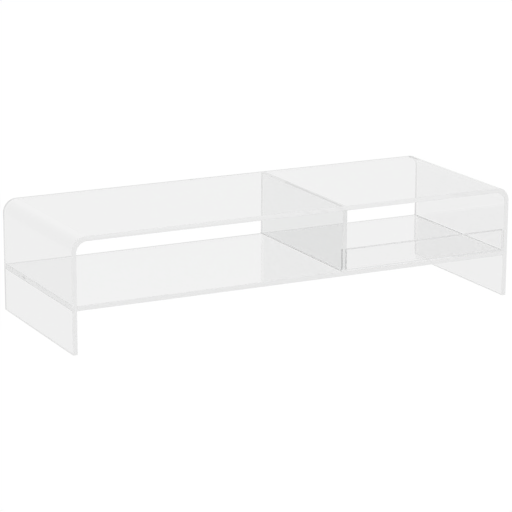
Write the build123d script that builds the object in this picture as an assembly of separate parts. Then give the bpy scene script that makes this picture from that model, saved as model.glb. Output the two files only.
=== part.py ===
from build123d import *
import os

# Clear acrylic monitor riser.
#
# One sheet is bent down at both ends to make the top and the legs. A full-length shelf sits between the
# legs, an upright divider splits the space above it into two bays, and a low lip crosses the front of the
# small bay. Every sheet is cut from the same clear acrylic. The sheets are joined edge to face with solvent
# cement, so nothing moves. Each joint is a thin film with a small cove along each open corner, and is a
# solid of its own.
#
# Millimetres. Origin: centre of the footprint, on the desk. +X to the right, +Y to the back, +Z up.

# Driving dimensions
LENGTH = 508.0  # outside of one leg to outside of the other
DEPTH = 185.0  # front edge to back edge
HEIGHT = 120.0  # desk to the top face
SHEET = 5.0  # thickness of every sheet
BEND_OUTSIDE = 14.5  # outside radius of the heat bends
BEND_INSIDE = 11.5  # inside radius, from a centre of its own, so that a bend is thickest at its middle
SHELF_TOP = 50.0  # desk to the upper face of the shelf
LARGE_BAY = 299.0  # clear width between the left leg and the divider
LIP_RISE = 23.0  # upper face of the shelf to the top of the lip
POLISHED_EDGE = 0.3  # radius that flame polishing leaves on an open sheet edge
FILM = 0.15  # thickness of the cement between two sheets
COVE = 0.7  # how far a cove of cement runs out along each of its two faces
COVE_SAG = 0.38  # how far the middle of a cove stands off its corner along each face, as a share of COVE

# Faces that the sheets share
FRONT = -DEPTH / 2
BACK = DEPTH / 2
LEG_FACE = LENGTH / 2 - SHEET  # inner face of the right leg; the left leg mirrors it
TOP_UNDERSIDE = HEIGHT - SHEET
SHELF_UNDERSIDE = SHELF_TOP - SHEET
DIVIDER_LEFT = -LEG_FACE + LARGE_BAY
DIVIDER_RIGHT = DIVIDER_LEFT + SHEET
LIP_BACK = FRONT + SHEET
LIP_TOP = SHELF_TOP + LIP_RISE

# Where the cement starts and stops: short of the rounded edges, and of a cove that runs another way
CEMENT_FRONT = FRONT + POLISHED_EDGE
CEMENT_BACK = BACK - POLISHED_EDGE
BEHIND_LIP = LIP_BACK + COVE
ABOVE_SHELF = SHELF_TOP + COVE

LEFTWARD, RIGHTWARD = (-1, 0, 0), (1, 0, 0)
BACKWARD = (0, 1, 0)
DOWNWARD, UPWARD = (0, 0, -1), (0, 0, 1)


def block(x_span, y_span, z_span):
    """A box from the (low, high) pair on each axis."""
    spans = (x_span, y_span, z_span)
    centre = [(low + high) / 2 for low, high in spans]
    size = [high - low for low, high in spans]
    return Pos(*centre) * Box(*size)


def arch(half_length, height, corner_radius):
    """A solid arch on the desk, from front to back, with both of its upper corners rounded."""
    solid = block((-half_length, half_length), (FRONT, BACK), (0, height))
    upper_corners = solid.edges().filter_by(Axis.Y).group_by(Axis.Z)[-1]
    return fillet(upper_corners, corner_radius)


def waterfall_sheet():
    """Top and both legs in one sheet, heat bent at each end, with every edge flame polished."""
    outer = arch(LENGTH / 2, HEIGHT, BEND_OUTSIDE)
    sheet = outer - arch(LEG_FACE, TOP_UNDERSIDE, BEND_INSIDE)
    end_edges = sheet.faces().filter_by(Axis.Y).edges()
    foot_edges = sheet.faces().group_by(Axis.Z)[0].edges().filter_by(Axis.Y)
    return fillet(end_edges + foot_edges, POLISHED_EDGE)


def lower_shelf():
    """Flat sheet between the legs, short of each leg by the film of cement."""
    reach = LEG_FACE - FILM
    sheet = block((-reach, reach), (FRONT, BACK), (SHELF_UNDERSIDE, SHELF_TOP))
    return fillet(sheet.edges().filter_by(Axis.X), POLISHED_EDGE)


def bay_divider():
    """Upright sheet from the shelf to the underside of the top."""
    sheet = block((DIVIDER_LEFT, DIVIDER_RIGHT), (FRONT, BACK), (SHELF_TOP + FILM, TOP_UNDERSIDE - FILM))
    return fillet(sheet.edges().filter_by(Axis.Z), POLISHED_EDGE)


def front_lip():
    """Low strip on the shelf, across the front of the small bay."""
    strip = block((DIVIDER_RIGHT + FILM, LEG_FACE - FILM), (FRONT, LIP_BACK), (SHELF_TOP + FILM, LIP_TOP))
    top_edges = strip.edges().filter_by(Axis.X).group_by(Axis.Z)[-1]
    return fillet(top_edges, POLISHED_EDGE)


def cove(start, end, one_face, other_face):
    """Cement in the corner line from start to end, thinning out along two directions from the corner."""
    corner, one, other = Vector(start), Vector(one_face), Vector(other_face)
    rim_one = corner + one * COVE
    rim_other = corner + other * COVE
    sagged = corner + (one + other) * (COVE * COVE_SAG)
    outline = [Line(corner, rim_one), ThreePointArc(rim_one, sagged, rim_other), Line(rim_other, corner)]
    run = Vector(end) - corner
    return extrude(make_face(outline), run.length, dir=run)


def seam_shelf_left():
    """Left end of the shelf to the left leg, with a cove above and one below."""
    film = block((-LEG_FACE, -LEG_FACE + FILM), (CEMENT_FRONT, CEMENT_BACK), (SHELF_UNDERSIDE, SHELF_TOP))
    above = cove(
        (-LEG_FACE, CEMENT_FRONT, SHELF_TOP), (-LEG_FACE, CEMENT_BACK, SHELF_TOP), RIGHTWARD, UPWARD
    )
    below = cove(
        (-LEG_FACE, CEMENT_FRONT, SHELF_UNDERSIDE),
        (-LEG_FACE, CEMENT_BACK, SHELF_UNDERSIDE),
        RIGHTWARD,
        DOWNWARD,
    )
    return film + above + below


def seam_shelf_right():
    """Right end of the shelf to the right leg. The cove above starts behind the lip."""
    film = block((LEG_FACE - FILM, LEG_FACE), (CEMENT_FRONT, CEMENT_BACK), (SHELF_UNDERSIDE, SHELF_TOP))
    above = cove((LEG_FACE, BEHIND_LIP, SHELF_TOP), (LEG_FACE, CEMENT_BACK, SHELF_TOP), LEFTWARD, UPWARD)
    below = cove(
        (LEG_FACE, CEMENT_FRONT, SHELF_UNDERSIDE),
        (LEG_FACE, CEMENT_BACK, SHELF_UNDERSIDE),
        LEFTWARD,
        DOWNWARD,
    )
    return film + above + below


def seam_divider_top():
    """Upper edge of the divider to the underside of the top, with a cove on each side."""
    film = block(
        (DIVIDER_LEFT, DIVIDER_RIGHT), (CEMENT_FRONT, CEMENT_BACK), (TOP_UNDERSIDE - FILM, TOP_UNDERSIDE)
    )
    left = cove(
        (DIVIDER_LEFT, CEMENT_FRONT, TOP_UNDERSIDE),
        (DIVIDER_LEFT, CEMENT_BACK, TOP_UNDERSIDE),
        LEFTWARD,
        DOWNWARD,
    )
    right = cove(
        (DIVIDER_RIGHT, CEMENT_FRONT, TOP_UNDERSIDE),
        (DIVIDER_RIGHT, CEMENT_BACK, TOP_UNDERSIDE),
        RIGHTWARD,
        DOWNWARD,
    )
    return film + left + right


def seam_divider_bottom():
    """Lower edge of the divider to the shelf. The cove in the small bay starts behind the lip."""
    film = block((DIVIDER_LEFT, DIVIDER_RIGHT), (CEMENT_FRONT, CEMENT_BACK), (SHELF_TOP, SHELF_TOP + FILM))
    left = cove(
        (DIVIDER_LEFT, CEMENT_FRONT, SHELF_TOP), (DIVIDER_LEFT, CEMENT_BACK, SHELF_TOP), LEFTWARD, UPWARD
    )
    right = cove(
        (DIVIDER_RIGHT, BEHIND_LIP, SHELF_TOP), (DIVIDER_RIGHT, CEMENT_BACK, SHELF_TOP), RIGHTWARD, UPWARD
    )
    return film + left + right


def seam_lip_bottom():
    """Lower edge of the lip to the shelf, with a cove on the bay side."""
    film = block(
        (DIVIDER_RIGHT + FILM, LEG_FACE - FILM), (CEMENT_FRONT, LIP_BACK), (SHELF_TOP, SHELF_TOP + FILM)
    )
    inside = cove(
        (DIVIDER_RIGHT + COVE, LIP_BACK, SHELF_TOP),
        (LEG_FACE - COVE, LIP_BACK, SHELF_TOP),
        BACKWARD,
        UPWARD,
    )
    return film + inside


def seam_lip_end(face, inward):
    """One end of the lip to the upright face at x = face; inward, 1 or -1, leads from it into the lip."""
    film_span = sorted((face, face + inward * FILM))
    film = block(film_span, (CEMENT_FRONT, LIP_BACK), (SHELF_TOP + FILM, LIP_TOP - POLISHED_EDGE))
    inside = cove(
        (face, LIP_BACK, ABOVE_SHELF), (face, LIP_BACK, LIP_TOP - POLISHED_EDGE), (inward, 0, 0), BACKWARD
    )
    return film + inside


NODES = {
    "waterfall_sheet": waterfall_sheet(),
    "lower_shelf": lower_shelf(),
    "bay_divider": bay_divider(),
    "front_lip": front_lip(),
    "seam_shelf_left": seam_shelf_left(),
    "seam_shelf_right": seam_shelf_right(),
    "seam_divider_top": seam_divider_top(),
    "seam_divider_bottom": seam_divider_bottom(),
    "seam_lip_bottom": seam_lip_bottom(),
    "seam_lip_left": seam_lip_end(DIVIDER_RIGHT, 1),
    "seam_lip_right": seam_lip_end(LEG_FACE, -1),
}

os.makedirs("parts", exist_ok=True)
for name, solid in NODES.items():
    export_step(solid, f"parts/{name}.step")
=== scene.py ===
"""Clear acrylic monitor riser in a white studio.

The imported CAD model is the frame. The four acrylic sheets are built here as lofted meshes, with smooth heat
bends and polished edges, and stand for their CAD nodes. The cement joints are the CAD nodes themselves.
Where cement holds two sheets together, light passes from one to the other as if they were one piece.
"""

import math

import bmesh
import bpy
from mathutils import Matrix, Vector


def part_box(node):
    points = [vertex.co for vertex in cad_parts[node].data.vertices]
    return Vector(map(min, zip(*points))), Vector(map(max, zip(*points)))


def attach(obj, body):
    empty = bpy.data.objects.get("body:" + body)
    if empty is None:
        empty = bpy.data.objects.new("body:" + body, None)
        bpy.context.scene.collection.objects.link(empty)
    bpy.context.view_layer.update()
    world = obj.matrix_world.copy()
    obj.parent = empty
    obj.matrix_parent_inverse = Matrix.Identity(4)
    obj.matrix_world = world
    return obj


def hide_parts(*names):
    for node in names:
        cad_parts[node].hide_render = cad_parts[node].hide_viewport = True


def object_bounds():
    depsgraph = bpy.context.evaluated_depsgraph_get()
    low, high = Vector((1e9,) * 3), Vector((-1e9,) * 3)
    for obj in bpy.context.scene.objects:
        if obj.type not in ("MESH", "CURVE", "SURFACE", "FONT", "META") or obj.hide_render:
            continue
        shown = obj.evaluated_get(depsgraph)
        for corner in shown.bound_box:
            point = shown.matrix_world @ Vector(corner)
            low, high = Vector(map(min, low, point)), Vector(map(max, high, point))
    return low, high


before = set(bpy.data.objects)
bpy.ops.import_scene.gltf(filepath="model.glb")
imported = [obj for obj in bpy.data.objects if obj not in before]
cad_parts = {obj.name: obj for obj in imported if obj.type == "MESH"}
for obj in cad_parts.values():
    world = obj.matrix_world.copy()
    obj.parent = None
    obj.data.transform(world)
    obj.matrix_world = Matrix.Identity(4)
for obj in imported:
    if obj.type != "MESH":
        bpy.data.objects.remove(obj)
CAD_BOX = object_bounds()

MM = 0.001
X, Y, Z = Vector((1, 0, 0)), Vector((0, 1, 0)), Vector((0, 0, 1))

# Sheets
SHEET = 5.0 * MM
EDGE_CROWN = 0.3 * MM  # how far the middle of a polished edge stands out past its corners
CROWN_SPREAD = 0.12  # how much of the sheet's thickness the curve of the crown takes up
CROWN_STEPS = 5
SQUARE_CORNER = math.radians(50)  # corners at least this sharp keep their crease
BEND_OUTSIDE = 14.5 * MM  # outside radius of the heat bends
BEND_INSIDE = 11.5 * MM  # inside radius, from a centre of its own, so that a bend is thickest at its middle
BEND_STEPS = 28
BEND_BULGE = 0.3 * MM  # how far the squeezed inner side of a bend swells past each edge of the sheet

# Optics
ACRYLIC_IOR = 1.49
CLEAR_TINT = (0.991, 0.991, 0.991)
# The divider's colour is the plastic's faint green tint, made darker than the other sheets' with painted
# shade, which stands in for the darker studio reflected in the divider.
DIVIDER_TINT_AND_SHADE = (0.925, 0.93, 0.928)
FACE_ROUGHNESS = 0.0
EDGE_ROUGHNESS = 0.04
EDGE_HAZE = 0.75  # share of the light that an edge spreads: polishing doesn't quite clear a sawn edge
DIVIDER_EDGE_HAZE = 0.5  # the same on the divider, whose edges are clearer
DRY_HAZE = 0.8  # the same where a sawn end has stayed rough, with no cement on it
CEMENT_ROUGHNESS = 0.05
CEMENT_FLUSH = 0.9995  # a cement face whose normal is this square to an axis lies against a sheet
BOND_MARGIN = 0.02 * MM  # how far past a cement joint's box a sheet still counts as joined
LIGHT_BOUNCES = 256  # light runs a long way inside a sheet before it leaves

# Studio, for rays that go down and rays that go up: (angle in degrees from the camera's axis, brightness).
# Both are chosen for the look of the plastic, not measured.
FLOOR_FIELD = [
    (0, 0.93), (14, 0.93), (29, 0.83), (47, 0.72), (58, 0.52),
    (66, 0.5), (75, 0.7), (119, 0.72), (180, 0.8),
]
WALL_FIELD = [
    (0, 0.93), (14, 0.93), (29, 0.83), (45, 0.85), (55, 0.6),
    (60, 0.4), (66, 0.1), (75, 0.5), (90, 0.8), (119, 0.95),
]
HALF_TURN = 180  # degrees
WALL_RISE = 0.2  # upward part of a ray's direction from which on it sees the wall alone
BOUNCES_TO_SPREAD = 8.5  # after more bounces than this, light is taken to have lost its direction
SPREAD_BRIGHTNESS = 0.82  # what such light sees of the studio
BACKDROP_WHITE = 1.0  # what the camera itself sees behind the object
FLOOR_SIZE = 60.0  # metres from side to side
FLOOR_GAP = 0.4 * MM  # clearance under the feet

# Camera, placed from the middle of the object's box: degrees, metres, and millimetres of lens
CAMERA_AZIMUTH = -27.28
CAMERA_ELEVATION = 14.64
CAMERA_ROLL = 0.29
CAMERA_DISTANCE = 2.4237
CAMERA_AIM = Vector((-3.84, -0.58, -8.46)) * MM
CAMERA_LENS = 159.9

DRY_SEAMS = ["seam_lip_left"]  # where the cement hasn't run in between the sheets

# The direction that each cement joint runs in
SEAM_RUNS = {
    "seam_shelf_left": "Y",
    "seam_shelf_right": "Y",
    "seam_divider_top": "Y",
    "seam_divider_bottom": "Y",
    "seam_lip_bottom": "X",
    "seam_lip_left": "Z",
    "seam_lip_right": "Z",
}


# ---------------------------------------------------------------- node helpers


def add(tree, kind, inputs=None, **settings):
    """A new node of this kind, with its settings, and its inputs given as values or as sockets to link."""
    node = tree.nodes.new(kind)
    for name, value in settings.items():
        setattr(node, name, value)
    for key, value in (inputs or {}).items():
        if isinstance(value, bpy.types.NodeSocket):
            tree.links.new(value, node.inputs[key])
        else:
            node.inputs[key].default_value = value
    return node


def number(tree, operation, *values):
    return add(tree, "ShaderNodeMath", dict(enumerate(values)), operation=operation).outputs[0]


def vector(tree, operation, *values):
    return add(tree, "ShaderNodeVectorMath", dict(enumerate(values)), operation=operation).outputs[0]


def axes_of(tree, value):
    return add(tree, "ShaderNodeSeparateXYZ", {0: value}).outputs


def new_material(name):
    material = bpy.data.materials.new(name)
    material.use_nodes = True
    material.node_tree.nodes.clear()
    return material, material.node_tree


def inside_box(tree, position, low, high):
    """1 inside the box and 0 outside it."""
    offset = vector(tree, "ABSOLUTE", vector(tree, "SUBTRACT", position, (low + high) / 2))
    room = axes_of(tree, vector(tree, "SUBTRACT", (high - low) / 2, offset))
    least = number(tree, "MINIMUM", number(tree, "MINIMUM", room[0], room[1]), room[2])
    return number(tree, "GREATER_THAN", least, 0.0)


# ---------------------------------------------------------------- materials


def glass(tree, colour, roughness, clearness=1.0):
    # On the divider this colour carries painted shade as well as the plastic's tint.
    """Clear plastic. Where clearness is under 1, the rest of the light is spread."""
    values = {
        "Base Color": (*colour, 1),
        "Roughness": roughness,
        "IOR": ACRYLIC_IOR,
        "Transmission Weight": clearness,
    }
    return add(tree, "ShaderNodeBsdfPrincipled", values).outputs[0]


def unseen_where(tree, held, shader):
    """The shader, or nothing at all where held is 1."""
    through = add(tree, "ShaderNodeBsdfTransparent").outputs[0]
    return add(tree, "ShaderNodeMixShader", {0: held, 1: shader, 2: through}).outputs[0]


def touching(tree, seams):
    """1 on the parts of a sheet that these cement joints touch, and 0 elsewhere."""
    position = add(tree, "ShaderNodeNewGeometry").outputs["Position"]
    margin = Vector((BOND_MARGIN,) * 3)
    touched = 0.0
    for seam in seams:
        low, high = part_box(seam)
        touched = number(tree, "MAXIMUM", touched, inside_box(tree, position, low - margin, high + margin))
    return touched


def acrylic(name, colour, roughness, outer_haze, seams):
    """Clear acrylic, joined to its neighbours by cement at these seams, with a haze seen from outside."""
    material, tree = new_material(name)
    outside = number(tree, "SUBTRACT", 1.0, add(tree, "ShaderNodeNewGeometry").outputs["Backfacing"])
    dry = touching(tree, [seam for seam in seams if seam in DRY_SEAMS])
    edge_haze = number(tree, "MULTIPLY", outside, outer_haze)
    dry_haze = number(tree, "MULTIPLY", dry, DRY_HAZE)
    haze = number(tree, "MAXIMUM", edge_haze, dry_haze)
    clear = glass(tree, colour, roughness, number(tree, "SUBTRACT", 1.0, haze))
    held = touching(tree, [seam for seam in seams if seam not in DRY_SEAMS])
    add(tree, "ShaderNodeOutputMaterial", {0: unseen_where(tree, held, clear)})
    return material


def cement(name, run):
    """Clear cement. Its open faces bend light; its faces against the sheets, which lie along run, don't."""
    material, tree = new_material(name)
    normal = add(tree, "ShaderNodeNewGeometry").outputs["True Normal"]
    parts = axes_of(tree, vector(tree, "ABSOLUTE", normal))
    squareness = number(tree, "MAXIMUM", *[parts[axis] for axis in "XYZ" if axis != run])
    held = number(tree, "GREATER_THAN", squareness, CEMENT_FLUSH)
    shader = unseen_where(tree, held, glass(tree, CLEAR_TINT, CEMENT_ROUGHNESS))
    add(tree, "ShaderNodeOutputMaterial", {0: shader})
    return material


# ---------------------------------------------------------------- sheets


def section(half_width, crowns):
    """Outline of a sheet's section, and whether the side after each of its points is a broad face.

    A point is (share, along): share runs from -1 on one face to 1 on the other. crowns are how far the edge
    stands out at the corners (+, +), (-, +), (-, -) and (+, -). A crown of 0 leaves the edge flat and the
    corner square.
    """
    outline, broad = [], []
    for quarter, (side, end) in enumerate([(1, 1), (-1, 1), (-1, -1), (1, -1)]):
        crown = crowns[quarter]
        steps = CROWN_STEPS if crown else 0
        spread = CROWN_SPREAD if crown else 0
        for step in range(steps + 1):
            turn = math.radians(90 * (quarter + step / max(steps, 1)))
            share = side * (1 - spread) + spread * math.cos(turn)
            outline.append((share, end * (half_width - crown) + crown * math.sin(turn)))
            broad.append(False)
        broad[-1] = quarter % 2 == 1
    return outline, broad


def loft(name, rings, broad):
    """A closed mesh through rings of points. Slot 0 is for the broad faces and slot 1 for the edges."""
    bm = bmesh.new()
    rings = [[bm.verts.new(point) for point in ring] for ring in rings]
    for near, far in zip(rings, rings[1:]):
        for i, is_broad in enumerate(broad):
            j = (i + 1) % len(broad)
            bm.faces.new((near[i], near[j], far[j], far[i])).material_index = 0 if is_broad else 1
    for ring in (rings[0], rings[-1]):
        bm.faces.new(ring).material_index = 1
    bmesh.ops.recalc_face_normals(bm, faces=bm.faces)
    for face in bm.faces:
        face.smooth = True
    for edge in bm.edges:
        edge.smooth = edge.calc_face_angle() < SQUARE_CORNER
    mesh = bpy.data.meshes.new(name)
    bm.to_mesh(mesh)
    bm.free()
    piece = bpy.data.objects.new(name, mesh)
    bpy.context.scene.collection.objects.link(piece)
    flat = piece.modifiers.new("flat_faces", "WEIGHTED_NORMAL")
    flat.keep_sharp = True
    return piece


def flat_sheet(name, node, path, across, along, crowns):
    """A flat sheet in its CAD node's box, lofted along path, with its thickness along across."""
    low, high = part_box(node)
    size, middle = high - low, (low + high) / 2
    outline, broad = section(size @ along / 2, crowns)
    half = across * (size @ across / 2)
    reach = path * (size @ path / 2)
    rings = [[middle + end + half * share + along * b for share, b in outline] for end in (-reach, reach)]
    return loft(name, rings, broad)


def foot_stations(outer_x, inner_x, floor_height):
    """Stations from the straight part of a leg down to its rounded foot."""
    for step in range(CROWN_STEPS + 1):
        turn = math.radians(90 * step / CROWN_STEPS)
        height = floor_height + EDGE_CROWN * (1 - math.sin(turn))
        narrowing = CROWN_SPREAD * (1 - math.cos(turn)) * (outer_x - inner_x) / 2
        outer, inner = Vector((outer_x - narrowing, 0, height)), Vector((inner_x + narrowing, 0, height))
        yield outer, inner, 0.0, EDGE_CROWN * (1 - math.cos(turn))


def bend_stations(corner, inward, start_degrees):
    """Stations around a heat bend in the outer corner, a quarter turn clockwise as seen from the front."""
    outer_centre = corner + inward * BEND_OUTSIDE
    inner_centre = corner + inward * (SHEET + BEND_INSIDE)
    for step in range(BEND_STEPS + 1):
        share = step / BEND_STEPS
        turn = math.radians(start_degrees - 90 * share)
        outward = Vector((math.cos(turn), 0, math.sin(turn)))
        outer, inner = outer_centre + outward * BEND_OUTSIDE, inner_centre + outward * BEND_INSIDE
        yield outer, inner, math.sin(math.pi * share), 0.0


def waterfall_sheet(name, node):
    """The bent sheet: a crowned section carried from the left foot, over the top, to the right foot.

    Each station is (outer face, inner face, how deep into a bend, inset of the front and back edges).
    """
    low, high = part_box(node)
    half_depth, mid_y = (high.y - low.y) / 2, (low.y + high.y) / 2
    stations = list(foot_stations(low.x, low.x + SHEET, low.z))[::-1]
    stations += bend_stations(Vector((low.x, 0, high.z)), X - Z, 180)
    stations += bend_stations(Vector((high.x, 0, high.z)), -X - Z, 90)
    stations += foot_stations(high.x, high.x - SHEET, low.z)
    rings = []
    for outer, inner, bent, inset in stations:
        outline, broad = section(half_depth - inset, (EDGE_CROWN,) * 4)
        ring = []
        for share, b in outline:
            swell = 1 - BEND_BULGE * bent * share / half_depth
            ring.append((outer + inner) / 2 + (outer - inner) / 2 * share + Y * (mid_y + b * swell))
        rings.append(ring)
    return loft(name, rings, broad)


# ---------------------------------------------------------------- studio


def blend(tree, share, first, second):
    return add(tree, "ShaderNodeMix", {0: share, 2: first, 3: second}).outputs[0]


def ramp(tree, angle, stops):
    """Brightness at an angle, given as a share of a half turn, from stops of (degrees, brightness)."""
    node = add(tree, "ShaderNodeValToRGB", {0: angle})
    marks = node.color_ramp.elements
    marks.remove(marks[1])
    for place, (degrees, brightness) in enumerate(stops):
        mark = marks[0] if place == 0 else marks.new(degrees / HALF_TURN)
        mark.position = degrees / HALF_TURN
        mark.color = (brightness, brightness, brightness, 1)
    return node.outputs[0]


def field_brightness(tree, direction):
    """Brightness of the studio in a world direction."""
    seen = add(tree, "ShaderNodeVectorTransform", {0: direction}, convert_from="WORLD", convert_to="CAMERA")
    forward = axes_of(tree, vector(tree, "NORMALIZE", seen.outputs[0]))[2]
    angle = number(tree, "DIVIDE", number(tree, "ARCCOSINE", forward), math.pi)
    rise = axes_of(tree, vector(tree, "NORMALIZE", direction))[2]
    upward = add(tree, "ShaderNodeMapRange", {0: rise, 2: WALL_RISE}).outputs[0]
    return blend(tree, upward, ramp(tree, angle, FLOOR_FIELD), ramp(tree, angle, WALL_FIELD))


def studio_light(tree, direction):
    """Plain white to the camera, and the studio to light that has met the object."""
    path = add(tree, "ShaderNodeLightPath").outputs
    is_spread = number(tree, "GREATER_THAN", path["Ray Depth"], BOUNCES_TO_SPREAD)
    brightness = blend(tree, is_spread, field_brightness(tree, direction), SPREAD_BRIGHTNESS)
    return blend(tree, path["Is Camera Ray"], brightness, BACKDROP_WHITE)


def light_studio():
    world = bpy.data.worlds.new("studio")
    world.use_nodes = True
    tree = world.node_tree
    tree.nodes.clear()
    direction = add(tree, "ShaderNodeTexCoord").outputs["Generated"]
    light = add(tree, "ShaderNodeBackground", {0: studio_light(tree, direction)})
    add(tree, "ShaderNodeOutputWorld", {0: light.outputs[0]})
    bpy.context.scene.world = world


def lay_floor():
    """A pale glowing floor, as bright as the studio behind it, and clear from below."""
    bpy.ops.mesh.primitive_plane_add(size=FLOOR_SIZE, location=(0, 0, CAD_BOX[0].z - FLOOR_GAP))
    floor = bpy.context.object
    floor.name = "floor"
    material, tree = new_material("floor_light")
    geometry = add(tree, "ShaderNodeNewGeometry").outputs
    direction = vector(tree, "MULTIPLY", geometry["Incoming"], (-1, -1, -1))
    light = add(tree, "ShaderNodeEmission", {0: studio_light(tree, direction)})
    shader = unseen_where(tree, geometry["Backfacing"], light.outputs[0])
    add(tree, "ShaderNodeOutputMaterial", {0: shader})
    floor.data.materials.append(material)


def place_camera():
    data = bpy.data.cameras.new("camera")
    data.lens = CAMERA_LENS
    camera = bpy.data.objects.new("camera", data)
    bpy.context.scene.collection.objects.link(camera)
    azimuth, elevation = math.radians(CAMERA_AZIMUTH), math.radians(CAMERA_ELEVATION)
    level = math.cos(elevation)
    back = Vector((math.sin(azimuth) * level, -math.cos(azimuth) * level, math.sin(elevation)))
    camera.location = (CAD_BOX[0] + CAD_BOX[1]) / 2 + CAMERA_AIM + back * CAMERA_DISTANCE
    camera.rotation_mode = "QUATERNION"
    roll = Matrix.Rotation(math.radians(CAMERA_ROLL), 4, "Z").to_quaternion()
    camera.rotation_quaternion = (-back).to_track_quat("-Z", "Y") @ roll
    bpy.context.scene.camera = camera


def set_light_paths():
    scene = bpy.context.scene
    scene.view_settings.view_transform = "Standard"
    cycles = scene.cycles
    cycles.max_bounces = LIGHT_BOUNCES
    cycles.transmission_bounces = LIGHT_BOUNCES
    cycles.glossy_bounces = LIGHT_BOUNCES
    cycles.transparent_max_bounces = LIGHT_BOUNCES
    cycles.caustics_reflective = True
    cycles.caustics_refractive = True
    cycles.use_adaptive_sampling = False
    cycles.use_denoising = True
    cycles.denoising_prefilter = "ACCURATE"
    scene.render.dither_intensity = 0


# ---------------------------------------------------------------- the object


def finish_sheet(piece, node, colour, edge_haze, seams):
    """Gives a sheet its face and edge materials, and puts it in place of its CAD node."""
    piece.data.materials.append(acrylic(piece.name + "_face", colour, FACE_ROUGHNESS, 0.0, seams))
    piece.data.materials.append(acrylic(piece.name + "_edge", colour, EDGE_ROUGHNESS, edge_haze, seams))
    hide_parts(node)
    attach(piece, "root")


ALL_CROWNED = (EDGE_CROWN,) * 4
TOP_CROWNED = (EDGE_CROWN, EDGE_CROWN, 0, 0)

finish_sheet(
    waterfall_sheet("bent_top_and_legs", "waterfall_sheet"),
    "waterfall_sheet",
    CLEAR_TINT,
    EDGE_HAZE,
    ["seam_shelf_left", "seam_shelf_right", "seam_divider_top", "seam_lip_right"],
)
finish_sheet(
    flat_sheet("shelf", "lower_shelf", X, Z, Y, ALL_CROWNED),
    "lower_shelf",
    CLEAR_TINT,
    EDGE_HAZE,
    ["seam_shelf_left", "seam_shelf_right", "seam_divider_bottom", "seam_lip_bottom"],
)
# The divider gets a darker colour than the other sheets: painted shade on top of the plastic's faint green.
finish_sheet(
    flat_sheet("divider", "bay_divider", Z, X, Y, ALL_CROWNED),
    "bay_divider",
    DIVIDER_TINT_AND_SHADE,
    DIVIDER_EDGE_HAZE,
    ["seam_divider_top", "seam_divider_bottom", "seam_lip_left"],
)
finish_sheet(
    flat_sheet("lip", "front_lip", X, Y, Z, TOP_CROWNED),
    "front_lip",
    CLEAR_TINT,
    EDGE_HAZE,
    ["seam_lip_bottom", "seam_lip_left", "seam_lip_right"],
)
for seam, run in SEAM_RUNS.items():
    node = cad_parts[seam]
    node.data.materials.clear()
    node.data.materials.append(cement("cement_" + seam, run))

light_studio()
lay_floor()
place_camera()
set_light_paths()
